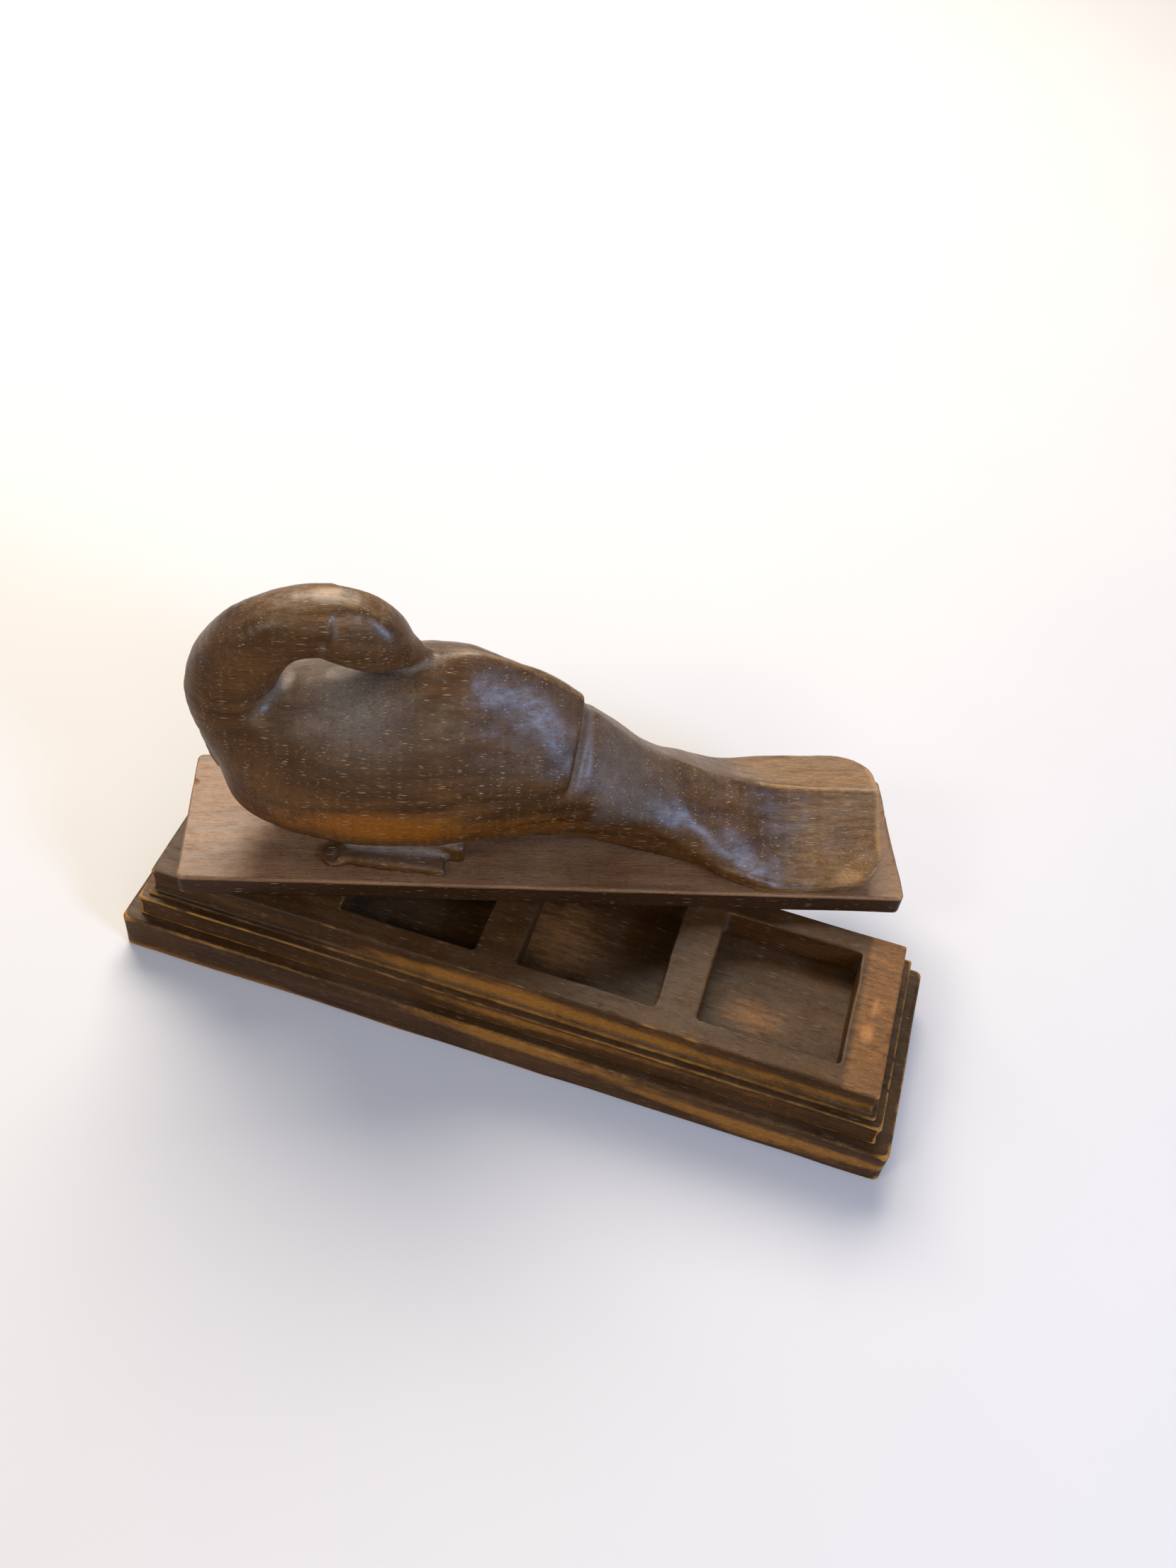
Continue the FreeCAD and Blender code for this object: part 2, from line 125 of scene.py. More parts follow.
class Shader:
    """A material's node tree, and the few nodes that a wood finish is made from."""

    def __init__(self, name):
        self.material = bpy.data.materials.new(name)
        self.material.use_nodes = True
        self.tree = self.material.node_tree
        self.tree.nodes.clear()

    def node(self, kind, settings, inputs, output=0):
        made = self.tree.nodes.new(kind)
        for name, value in settings.items():
            setattr(made, name, value)
        for name, value in inputs.items():
            socket = made.inputs[name]
            if isinstance(value, Value):
                self.tree.links.new(value.socket, socket)
            else:
                socket.default_value = value
        return Value(self, made.outputs[output]) if made.outputs else None

    def place(self, stretch):
        """Position on the piece in millimetres, scaled along each axis."""
        at = self.node("ShaderNodeTexCoord", {}, {}, "Object")
        scale = tuple(s / MM for s in stretch)
        return self.node("ShaderNodeVectorMath", {"operation": "MULTIPLY"}, {0: at, 1: scale})

    def noise(self, stretch, detail=3.0, rough=0.55, twist=0.0):
        """Smooth random values about 0.5."""
        return self.node(
            "ShaderNodeTexNoise",
            {"noise_dimensions": "3D"},
            {"Vector": self.place(stretch), "Scale": 1.0, "Detail": detail, "Roughness": rough,
             "Distortion": twist},
        )

    def spots(self, stretch, output="Distance"):
        """Scattered points: how far the nearest one is, or its own random colour."""
        return self.node(
            "ShaderNodeTexVoronoi", {"feature": "F1"},
            {"Vector": self.place(stretch), "Scale": 1.0, "Randomness": 1.0}, output,
        )

    def painted(self, name):
        """A value stored on the mesh's points."""
        return self.node("ShaderNodeAttribute", {"attribute_name": name}, {}, "Fac")

    def step(self, value, low, high):
        """0 below low, 1 above high, and a soft rise between them."""
        return self.node(
            "ShaderNodeMapRange", {"interpolation_type": "SMOOTHSTEP"},
            {"Value": value, "From Min": low, "From Max": high},
        )

    def mix(self, amount, first, second, blend="MIX"):
        """Goes from the first colour to the second as amount goes from 0 to 1."""
        return self.node(
            "ShaderNodeMix", {"data_type": "RGBA", "blend_type": blend},
            {0: amount, 6: first, 7: second}, 2,
        )

    def finish(self, colour, roughness, normal, metallic=0.0, coat=0.0, coat_rough=0.3, shine=0.5,
               tint=(1.0, 1.0, 1.0, 1.0)):
        """Ends the tree in one surface and returns the material."""
        surface = self.node(
            "ShaderNodeBsdfPrincipled", {},
            {"Base Color": colour, "Roughness": roughness, "Metallic": metallic, "Normal": normal,
             "Coat Weight": coat, "Coat Roughness": coat_rough, "Specular IOR Level": shine,
             "Specular Tint": tint},
        )
        self.node("ShaderNodeOutputMaterial", {}, {"Surface": surface})
        return self.material


def rgb(red, green, blue):
    return (red, green, blue, 1.0)


def deeper(colour, share):
    """The same colour with only that share of its light."""
    return rgb(*(share * c for c in colour[:3]))


print("a shader has", [name for name in vars(Shader) if not name.startswith("_")])


# %% [markdown]
# Old wood has the same layers everywhere: long soft bands from the growth rings, fine fibres,
# short open pores that hold pale dust or dark wax, bare gold where hands have rubbed the
# edges, and grey dust in the corners. One function lays them in that order, and each board
# gives its own colours. The grain runs along X on every piece, as the boards were cut. A
# picture wrapped round the wood would stretch and show seams; layers of noise that are worked
# out in the piece's own millimetres do neither.
# Some of these layers also paint light and shade. The amber partly paints warm light, and on the
# lid's sides it paints shade. The bare layer paints light on some faces, and the grey under the
# bird's neck and on its rump paints a sheen.

# %% Wood finish
# Repeats per millimetre along, across and up the grain.
BANDS, CLOUD, SHEEN = (0.018, 0.16, 0.16), (0.05, 0.07, 0.07), (0.09, 0.13, 0.13)
FIBRE, LINES = (0.10, 2.2, 2.2), (0.03, 1.1, 1.1)
BROKEN, SCUFFED, SPECKLE = (0.25, 0.55, 0.55), (0.16, 0.9, 0.9), (1.2, 5.0, 5.0)
LONG_PORES, SHORT_PORES = (0.26, 2.4, 2.4), (0.5, 5.0, 5.0)
RELIEF = 0.00022  # metres
DIM, BRIGHT = rgb(0.78, 0.78, 0.78), rgb(1.2, 1.2, 1.2)
WAX_ROUGHNESS, WOOD_SHINE, WOOD_TINT = 0.36, 0.16, rgb(1.0, 0.80, 0.55)


def wood_finish(name, dark, warm, amber, worn, patch, dust_and_sheen_colour, fleck, gloss, fleck_share, wax):
    """One stained, waxed and rubbed wood, from its colours in linear light."""
    wood = Shader(name)
    bands = wood.noise(BANDS, 4.0, 0.55, 1.2)
    fibre = wood.noise(FIBRE, 5.0, 0.65)
    cloud = wood.noise(CLOUD, 3.0, 0.5)
    lines = wood.noise(LINES, 3.0, 0.6)
    base = wood.mix(wood.step(bands + 0.8 * (cloud - 0.5), 0.25, 0.75), dark, warm)
    base = wood.mix(wood.step(fibre, 0.40, 0.75) * 0.5, base, deeper(dark, 0.5))
    base = wood.mix(wood.step(lines, 0.56, 0.72) * 0.3, base, warm)

    # Thinner stain glows amber, partly as painted warm light, and on the lid's sides the amber layer
    # is a painted shade. Rubbed arrises turn gold, and knocks bare the wood; that bare layer also
    # carries painted light on some faces.
    broken = wood.noise(BROKEN, 5.0, 0.65)
    thin_stain_and_painted_light = wood.painted("amber") + 0.7 * (broken - 0.5) + 0.5 * (cloud - 0.5)
    base = wood.mix(wood.step(thin_stain_and_painted_light, 0.20, 0.85) * 0.92, base, amber)
    gold = wood.step(wood.painted("wear") + 1.0 * (broken - 0.5), 0.22, 0.95)
    base = wood.mix(gold * 0.8, base, worn)
    scuffed = wood.noise(SCUFFED, 4.0, 0.7)
    bare = wood.step(wood.painted("bare") + 0.8 * (scuffed - 0.5), 0.18, 0.95)
    base = wood.mix(bare * 0.9, base, patch)

    # Dust settles on what faces up and gathers in the hollows; on the bird's rump and under its neck
    # the same grey also paints a sheen.
    facing = wood.node("ShaderNodeNewGeometry", {}, {}, "Normal")
    up = wood.node("ShaderNodeSeparateXYZ", {}, {0: facing}, "Z")
    settled = wood.step(up, 0.3, 0.95) * wood.step(cloud + 0.6 * (broken - 0.5), 0.35, 0.75)
    film = (wood.painted("hollow") * 0.9 + settled * 0.35).clamped()
    base = wood.mix(film * 0.75, base, dust_and_sheen_colour)

    # Each pore is a short dash, filled with pale dust or dark wax or left plain.
    pits = []
    for stretch, share in ((LONG_PORES, fleck_share), (SHORT_PORES, fleck_share + 0.05)):
        near = wood.spots(stretch)
        dash = wood.spots(stretch, "Color")
        chance = wood.node("ShaderNodeSeparateColor", {}, {0: dash}, "Red")
        pale = (1.0 - wood.step(near, 0.10, 0.34)) * wood.step(chance, share, 1.0)
        deep = (1.0 - wood.step(near, 0.10, 0.36)) * (1.0 - wood.step(chance, 0.30, 0.45))
        base = wood.mix(deep * 0.45, base, deeper(dark, 0.45))
        base = wood.mix(pale * 0.9, base, fleck)
        pits.append(pale + deep)
    speckle = wood.noise(SPECKLE, 2.0, 0.7)
    grains = wood.mix(wood.step(speckle, 0.3, 0.7), DIM, BRIGHT)
    base = wood.mix(1.0, base, grains, "MULTIPLY")

    sheen = wood.noise(SHEEN, 3.0, 0.5)
    rough = gloss + 0.22 * (sheen - 0.5) + 0.12 * fibre + 0.18 * film + 0.1 * gold
    height = 0.5 * fibre + 0.35 * lines + 0.35 * broken + 0.2 * speckle
    height = height - 0.7 * pits[0] - 0.3 * pits[1]
    bump = wood.node(
        "ShaderNodeBump", {}, {"Strength": 0.55, "Distance": RELIEF, "Height": height}
    )
    patchy = 0.45 + 1.1 * wood.step(0.5 * fibre + 0.5 * broken, 0.35, 0.65)
    polish = wax * (0.06 + 0.94 * wood.step(up, 0.05, 0.60)) * (1.0 - 0.5 * film) * patchy
    return wood.finish(
        base, rough.clamped(), bump, coat=polish.clamped(), coat_rough=WAX_ROUGHNESS,
        shine=WOOD_SHINE, tint=WOOD_TINT,
    )


bird_wood = wood_finish(
    "waxed_bird_wood", dark=rgb(0.036, 0.0135, 0.003), warm=rgb(0.092, 0.039, 0.010),
    # The bird's amber is thinner stain and partly painted warm reflected light.
    amber=rgb(0.180, 0.058, 0.003), worn=rgb(0.20, 0.110, 0.040), patch=rgb(0.30, 0.17, 0.070),
    dust_and_sheen_colour=rgb(0.145, 0.125, 0.110), fleck=rgb(0.32, 0.24, 0.14), gloss=0.38, fleck_share=0.60,
    wax=0.42,
)
base_wood = wood_finish(
    "rubbed_base_wood", dark=rgb(0.031, 0.013, 0.0040), warm=rgb(0.068, 0.030, 0.009),
    # The base's amber is thinner stain and partly painted warm light on the boards' sides.
    amber=rgb(0.230, 0.100, 0.017), worn=rgb(0.34, 0.165, 0.032), patch=rgb(0.30, 0.130, 0.038),
    dust_and_sheen_colour=rgb(0.065, 0.050, 0.037), fleck=rgb(0.16, 0.12, 0.08), gloss=0.50, fleck_share=0.75,
    wax=0.16,
)
lid_wood = wood_finish(
    "greyed_lid_wood", dark=rgb(0.130, 0.064, 0.031), warm=rgb(0.235, 0.124, 0.062),
    # The lid's amber is a near-black brown: it paints shade on the lid's upright sides.
    amber=rgb(0.016, 0.006, 0.002), worn=rgb(0.24, 0.145, 0.075), patch=rgb(0.20, 0.12, 0.07),
    dust_and_sheen_colour=rgb(0.150, 0.108, 0.074), fleck=rgb(0.24, 0.18, 0.12), gloss=0.42, fleck_share=0.80,
    wax=0.40,
)
print("wood finishes", [m.name for m in (bird_wood, base_wood, lid_wood)])

# %% [markdown]
# Carved and worn wood has no hard construction lines, so every wooden piece is described by a
# field: a function that says how far a point is outside the wood, and is negative inside it.
# Hollows, rounded arrises, chips and the carver's cuts are all sums on that field, and one
# mesher turns it into skin. These are its soft joins and a repeatable random mottle.

# %% Field helpers
LATTICE_SIZE = 32
lattice = np.random.default_rng(11).random((LATTICE_SIZE,) * 3)


def soft_min(a, b, reach):
    """The union of two fields, blended over reach millimetres."""
    share = np.clip(0.5 + 0.5 * (b - a) / reach, 0, 1)
    return b + (a - b) * share - reach * share * (1 - share)


def soft_max(a, b, reach):
    """What two fields share, blended over reach millimetres."""
    return -soft_min(-a, -b, reach)


def rise(x, low, high):
    """0 below low, 1 above high, and a soft rise between them."""
    t = np.clip((x - low) / (high - low), 0, 1)
    return t * t * (3 - 2 * t)


def mottle(x, y, z, size):
    """Random values from 0 to 1 that change smoothly over about size millimetres."""
    cells = []
    parts = []
    for c in (x, y, z):
        scaled = c / size + 100.0
        cells.append(np.floor(scaled).astype(int))
        parts.append(rise(scaled - np.floor(scaled), 0, 1))
    total = 0
    for corner in itertools.product((0, 1), repeat=3):
        weight = 1
        for part, side in zip(parts, corner):
            weight = weight * (part if side else 1 - part)
        i, j, k = ((cell + side) % LATTICE_SIZE for cell, side in zip(cells, corner))
        total = total + weight * lattice[i, j, k]
    return total


def through(x, xs, ys):
    """A smooth line through the points that never swings past them."""
    xs, ys = np.asarray(xs, float), np.asarray(ys, float)
    gap, slope = np.diff(xs), np.diff(ys) / np.diff(xs)
    one, two = 2 * gap[1:] + gap[:-1], gap[1:] + 2 * gap[:-1]
    keep = slope[:-1] * slope[1:] > 0
    safe = np.where(keep, slope[:-1], 1), np.where(keep, slope[1:], 1)
    tangent = np.concatenate([
        slope[:1], np.where(keep, (one + two) / (one / safe[0] + two / safe[1]), 0), slope[-1:]
    ])
    x = np.clip(x, xs[0], xs[-1])
    i = np.clip(np.searchsorted(xs, x) - 1, 0, len(xs) - 2)
    t = (x - xs[i]) / gap[i]
    start = (1 + 2 * t) * (1 - t) ** 2 * ys[i] + t * (1 - t) ** 2 * gap[i] * tangent[i]
    return start + t * t * (3 - 2 * t) * ys[i + 1] + t * t * (t - 1) * gap[i] * tangent[i + 1]


def band(x, middle, spread):
    """1 at the middle, fading to nothing within about two spreads."""
    return np.exp(-(((x - middle) / spread) ** 2))


def spot(x, y, middle, spread):
    """The same in two directions, each with its own middle and spread."""
    return np.exp(-(((x - middle[0]) / spread[0]) ** 2) - ((y - middle[1]) / spread[1]) ** 2)


print("mottle runs from", lattice.min().round(3), "to", lattice.max().round(3))

# %% [markdown]
# The mesher works on a box of grid lines. In every cell that the wood's surface crosses, it
# puts one point at the middle of the crossings, and joins the points of neighbouring cells
# with four-sided faces. The lines may be crowded where the shape has fine edges, which keeps
# the arrises crisp and the faces few. The points then slide onto the surface exactly. A
# Boolean or a Remesh modifier could join the same shapes, but neither follows a field.

# %% Mesher


def grid_lines(low, high, fine, coarse, near):
    """Positions from low to high, fine steps apart near the listed places and coarse elsewhere."""
    fine_zone, growth = 1.2, 0.28
    lines = [low]
    while lines[-1] < high:
        gap = min(abs(lines[-1] - place) for place in near)
        ahead = min((place - lines[-1] for place in near if place > lines[-1] + 1e-6), default=high)
        step = min(coarse, fine + growth * max(min(gap, ahead) - fine_zone, 0))
        lines.append(lines[-1] + step)
    return np.array(lines)


def skin(field, grid):
    """Points and four-sided faces of the surface where field is zero."""
    spacing = [np.diff(lines) for lines in grid]
    value = field(*np.meshgrid(*grid, indexing="ij"))
    inside = value < 0
    corners = list(itertools.product((0, 1), repeat=3))
    shape = tuple(n - 1 for n in value.shape)
    count = sum(
        inside[i:i + shape[0], j:j + shape[1], k:k + shape[2]].astype(np.int8)
        for i, j, k in corners
    )
    crossed = (count > 0) & (count < 8)
    cell = np.argwhere(crossed)
    number = np.full(shape, -1)
    number[crossed] = np.arange(len(cell))
    at_corner = {c: value[tuple((cell + c).T)] for c in corners}
    total = np.zeros((len(cell), 3))
    hits = np.zeros(len(cell))
    for corner in corners:
        for axis in range(3):
            if corner[axis]:
                continue
            other = tuple(c + (n == axis) for n, c in enumerate(corner))
            a, b = at_corner[corner], at_corner[other]
            hit = (a < 0) != (b < 0)
            along = np.where(hit, a / np.where(hit, a - b, 1), 0)
            point = np.tile(np.array(corner, float), (len(cell), 1))
            point[:, axis] += along
            total += point * hit[:, None]
            hits += hit
    part = total / hits[:, None]
    points = np.stack(
        [grid[n][cell[:, n]] + part[:, n] * spacing[n][cell[:, n]] for n in range(3)], 1
    )
    faces = []
    for axis in range(3):
        low = np.take(inside, range(value.shape[axis] - 1), axis)
        high = np.take(inside, range(1, value.shape[axis]), axis)
        edge = np.argwhere(low != high)
        first, second = (axis + 1) % 3, (axis + 2) % 3
        limit = np.array(shape)
        good = (edge[:, first] > 0) & (edge[:, second] > 0)
        good &= (edge[:, first] < limit[first]) & (edge[:, second] < limit[second])
        edge = edge[good]
        ring = []
        for d1, d2 in ((1, 1), (0, 1), (0, 0), (1, 0)):
            near = edge.copy()
            near[:, first] -= d1
            near[:, second] -= d2
            ring.append(number[tuple(near.T)])
        ring = np.stack(ring, 1)
        flip = ~low[tuple(edge.T)]
        ring[flip] = ring[flip][:, ::-1]
        faces.append(ring)
    return points, np.concatenate(faces)


def slope_of(field, points, reach=0.05):
    """The field's value and its gradient at the points."""
    value = field(*points.T)
    gradient = np.empty_like(points)
    for axis in range(3):
        moved = points.copy()
        moved[:, axis] += reach
        gradient[:, axis] = (field(*moved.T) - value) / reach
    return value, gradient


def settle(field, points, rounds=2, longest=0.3):
    """Slides the points onto the surface where field is zero."""
    for _ in range(rounds):
        value, gradient = slope_of(field, points)
        square = np.maximum((gradient ** 2).sum(1), 0.05)
        move = -gradient * (value / square)[:, None]
        length = np.linalg.norm(move, axis=1)
        points = points + move * np.minimum(1, longest / np.maximum(length, 1e-9))[:, None]
    return points


print("10 mm between two edges take", len(grid_lines(0, 10, 0.2, 1.0, [0, 10])), "grid lines")

# %% [markdown]
# Wear follows shape: hands and cloths rub whatever stands proud, and wax and dust stay in
# what is hollow. The bend of the mesh at each point tells the two apart. It is spread over
# the neighbouring points a few times, and stored on the mesh for the finishes to read. The
# shader's own Pointiness would do this too, but only in one renderer and with no control.

# %% Proud and hollow


def bend(points, faces, rounds):
    """How much each point stands proud (+) or lies hollow (-), per millimetre, evened out."""
    edges = np.concatenate([faces[:, [k, (k + 1) % 4]] for k in range(4)])
    normal = np.zeros_like(points)
    across = [points[faces[:, k + 2]] - points[faces[:, k]] for k in range(2)]
    face_normal = np.cross(*across)
    for k in range(4):
        np.add.at(normal, faces[:, k], face_normal)
    normal /= np.maximum(np.linalg.norm(normal, axis=1), 1e-9)[:, None]
    step = points[edges[:, 1]] - points[edges[:, 0]]
    square = np.maximum((step ** 2).sum(1), 1e-6)
    curve = -2 * (step * normal[edges[:, 0]]).sum(1) / square
    size = np.sqrt(square)
    total = np.bincount(edges[:, 0], curve * size, len(points))
    weight = np.bincount(edges[:, 0], size, len(points))
    value = np.clip(total / weight, -4, 4)
    for _ in range(rounds):
        around = np.bincount(edges[:, 0], value[edges[:, 1]], len(points))
        value = 0.5 * value + 0.5 * around / np.bincount(edges[:, 0], minlength=len(points))
    return value


print("proud and hollow are told apart by the mesh's bend")

# %% [markdown]
# Every wooden piece is made in the same few steps, so one function takes them all. It meshes the
# field, paints the wear on the points, gives the piece its finish, ties it to the body it moves
# with, and hides the working part that it stands in for.


def nowhere(x, y, z):
    """The mask of a piece that has none."""
    return np.zeros(len(x))


def make_piece(name, field, grid, place, body, node, finish, wear_at, hollow_at,
               bare=nowhere, amber=nowhere, dust_and_sheen_at=nowhere, stained=nowhere, rounds=6):
    """Builds one wooden piece, paints its wear, gives it its finish, ties it to its body, and hides
    its node.
    """
    points, faces = skin(field, grid)
    points = settle(field, points)
    mesh = bpy.data.meshes.new(name)
    mesh.from_pydata((points * MM).tolist(), [], faces.tolist())
    mesh.polygons.foreach_set("use_smooth", np.ones(len(faces), bool))
    proud = bend(points, faces, rounds)
    rubbed = 0.25 + 1.3 * mottle(*points.T, size=34.0)
    layers = {
        "wear": np.clip(proud / wear_at, 0, 1) * rubbed * (1 - stained(*points.T)),
        "hollow": np.maximum(np.clip(-proud / hollow_at, 0, 1), dust_and_sheen_at(*points.T)),
        "bare": bare(*points.T),
        "amber": amber(*points.T),
    }
    for layer, amount in layers.items():
        stored = mesh.attributes.new(layer, "FLOAT", "POINT")
        stored.data.foreach_set("value", amount.astype(np.float32))
    mesh.validate()
    mesh.materials.append(finish)
    piece = bpy.data.objects.new(name, mesh)
    scene.collection.objects.link(piece)
    piece.matrix_world = place
    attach(piece, body)
    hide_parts(node)
    span = [(round(a, 1), round(b, 1)) for a, b in zip(points.min(0), points.max(0))]
    print(name, len(faces), "faces, spans", span, "mm")


# %% [markdown]
# The base is three boards. Each has its own small round on the corners and a soft arris that
# varies along its length, because the box has been slid over desks for years. The two upper
# boards are hollowed slightly down their sides, as a moulding plane leaves them, and a few
# chips are knocked out of the edges. A board's field is its plan and its height, joined by
# a rounded corner, with the chips and wells taken away.

# %% Board shapes


def plan_distance(x, y, half_x, half_y, corner):
    """How far outside a rectangle with rounded corners a point lies, seen from above."""
    out_x, out_y = np.abs(x) - half_x + corner, np.abs(y) - half_y + corner
    outside = np.hypot(np.maximum(out_x, 0), np.maximum(out_y, 0))
    return outside + np.minimum(np.maximum(out_x, out_y), 0) - corner


def rounded_meet(a, b, radius):
    """The part inside both a and b, with a round of that radius where they meet."""
    a, b = a + radius, b + radius
    return np.hypot(np.maximum(a, 0), np.maximum(b, 0)) + np.minimum(np.maximum(a, b), 0) - radius


def edge_chips(seed, count, half_x, half_y, height):
    """Centres and radii of chips knocked out of a board's top edge."""
    rng = np.random.default_rng(seed)
    chips = []
    for _ in range(count):
        along_x = rng.random() < half_x / (half_x + half_y)
        side = rng.choice((-1, 1))
        x = rng.uniform(-half_x, half_x) if along_x else side * half_x
        y = side * half_y if along_x else rng.uniform(-half_y, half_y)
        radius = rng.uniform(0.35, 0.85)
        chips.append((x, y, height + 0.35 * radius, radius))
    return chips


def chipped(field, chips, x, y, z):
    """Takes the chips out of the wood. Each is a ball drawn out along the grain."""
    drawn_out = 0.55
    for cx, cy, cz, radius in chips:
        near = np.sqrt(((x - cx) * drawn_out) ** 2 + (y - cy) ** 2 + (z - cz) ** 2)
        field = soft_max(field, radius - near, 0.25)
    return field


def side_amber(half_x, half_y, low, high):
    """Warm amber streaks along a board's upright sides: thinner stain, and partly painted warm
    light.
    """
    def amber(x, y, z):
        at_side = rise(plan_distance(x, y, half_x, half_y, 0.8), -1.6, -0.5)
        streaks = mottle(0.4 * x, 0.4 * y, 9 * z, size=24.0)
        # Partly painted light: the amber streaks also paint warm light on the upright sides.
        return 0.85 * at_side * rise(streaks, low, high)
    return amber


def board(half_x, half_y, bottom, top, corner, arris, cove, chips):
    """The field of a board: corner is round in plan, arris round in section."""
    def field(x, y, z):
        side = plan_distance(x, y, half_x, half_y, corner)
        height = (z - bottom) / (top - bottom)
        side = side + cove * np.clip(4 * height * (1 - height), 0, 1)
        side = side + 0.18 * mottle(x, y, z, size=23.0)
        level = np.maximum(bottom - z, z - top + 0.10 * mottle(x, y, z, size=17.0))
        wood = rounded_meet(side, level, arris * (0.5 + 1.1 * mottle(x, y, z, size=11.0)))
        return chipped(wood, chips, x, y, z)
    return field


FINE, COARSE, MARGIN = 0.22, 0.95, 0.6


def board_grid(low, high, extra_x=(), extra_y=(), extra_z=()):
    """Grid lines round a board, crowded at its edges and at the extra places."""
    grid = []
    for axis, extra in enumerate((extra_x, extra_y, extra_z)):
        near = [low[axis], high[axis], *extra]
        grid.append(grid_lines(low[axis] - MARGIN, high[axis] + MARGIN, FINE, COARSE, near))
    return grid


print("boards are meshed at", FINE, "mm by their edges and", COARSE, "mm between")

# %% [markdown]
# The foot board is the widest and has had the hardest life, so it gets the most chips and the
# softest arris. Long streaks on its sides have lost their dark stain and show golden wood, and the
# same amber also paints warm light on those sides.

# %% Foot board
foot_low, foot_high = (np.array(c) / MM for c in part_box("foot_board"))
foot_chips = edge_chips(3, 26, *foot_high)
make_piece(
    "worn_foot_board",
    board(foot_high[0], foot_high[1], 0.0, foot_high[2], corner=1.6, arris=0.8, cove=0.1,
          chips=foot_chips),
    board_grid(foot_low, foot_high), base_place, "base", "foot_board", base_wood,
    wear_at=0.55, hollow_at=0.5, amber=side_amber(foot_high[0], foot_high[1], 0.42, 0.80),
)

# %% [markdown]
# The middle board is the floor of the wells as well as a tier. Fingers that picked out stamps have
# rubbed its top bare in one spot of the end well, and the floor of the middle one is painted paler
# as painted light where the lid shades it.

# %% Middle board
middle_low, middle_high = (np.array(c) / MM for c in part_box("middle_board"))
middle_chips = edge_chips(5, 22, *middle_high)


def well_floor_patch_and_painted_light(x, y, z):
    """A rubbed spot on the floor of the end well, and painted light over the middle well's floor."""
    end_well = 0.52 * spot(x, y, (52, -5), (10, 6))
    # Painted light: the middle well's floor is painted paler where the lid above shades it.
    middle_well = 0.56 * spot(x, y, (4, 0), (17, 14))
    return np.maximum(end_well, middle_well) * (z > middle_high[2] - 0.5)


make_piece(
    "worn_middle_board",
    board(middle_high[0], middle_high[1], middle_low[2], middle_high[2], corner=0.8, arris=0.45,
          cove=0.55, chips=middle_chips),
    board_grid(middle_low, middle_high), base_place, "base", "middle_board", base_wood,
    wear_at=0.6, hollow_at=0.5, bare=well_floor_patch_and_painted_light,
    amber=side_amber(middle_high[0], middle_high[1], 0.58, 0.95),
)

# %% [markdown]
# The top board holds the wells. They were chopped out with a chisel, so their walls are not
# quite flat and their corners are nearly square. A thin toe runs round the board's foot where
# it meets the board below. On the right-hand rim the stain is rubbed away in two patches.
# The whole end rim is also painted paler, as painted light where the lamps behind and on the right
# fall on it.

# %% Well board
TOE = 0.9
WELL_X, WELL_Y, WELL_CORNER = 15.25, 14.5, 0.9
WELL_CENTRES = (55.6, 16.0, -23.6)
well_low, well_high = (np.array(c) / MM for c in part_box("well_board"))
rim_x, rim_y = well_high[0] - TOE, well_high[1] - TOE
well_chips = edge_chips(8, 20, rim_x, rim_y, well_high[2])
rim_board = board(rim_x, rim_y, well_low[2], well_high[2], corner=0.8, arris=0.4, cove=0.45,
                  chips=well_chips)


def well_board_field(x, y, z):
    """The top tier with its toe, less the three wells."""
    toe_side = plan_distance(x, y, well_high[0], well_high[1], 0.8)
    toe_side = toe_side + 0.12 * mottle(x, y, z, size=9.0)
    toe = rounded_meet(toe_side, np.maximum(well_low[2] - z, z - well_low[2] - TOE), 0.3)
    wood = soft_min(rim_board(x, y, z), toe, 0.15)
    for centre in WELL_CENTRES:
        wander = 0.35 * (mottle(x, y, z, size=6.0) - 0.5)
        hole = plan_distance(x - centre, y, WELL_X, WELL_Y, WELL_CORNER) + wander
        wood = rounded_meet(wood, -hole, 0.25 + 0.35 * mottle(x, y, z, size=8.0))
    return wood


def rim_patches_and_painted_light(x, y, z):
    """Bare wood on the end rim: two knocked patches, on a rim painted paler as painted light."""
    on_top = z > well_high[2] - 0.6
    first = spot(x, y, (74.8, -5.5), (2.0, 3.6))
    second = spot(x, y, (75.6, 1.5), (1.4, 3.2))
    # Painted light: the whole end rim is painted paler where the light from behind and the right
    # falls on it.
    rim = 0.50 * rise(x, 70.5, 73.0)
    return np.maximum.reduce([first, second, rim]) * on_top


walls_x = [c + side * WELL_X for c in WELL_CENTRES for side in (-1, 1)] + [-rim_x, rim_x]
walls_y = (-WELL_Y, WELL_Y, -rim_y, rim_y)
make_piece(
    "worn_well_board", well_board_field,
    board_grid(well_low, well_high, walls_x, walls_y, (well_low[2] + TOE,)),
    base_place, "base", "well_board", base_wood, wear_at=1.7, hollow_at=0.5, bare=rim_patches_and_painted_light,
    amber=side_amber(rim_x, rim_y, 0.45, 0.95),
)

# %% [markdown]
# The lid is one flat board with rounded corners. It is paler and greyer than the base, because its
# top has been handled and dusted most, and its upright sides are painted dark as painted shade. Its
# surface dips and swells by a tenth of a millimetre or two, as old flat boards do. It is built round
# the pivot, and the place given to it swings it open over the wells.

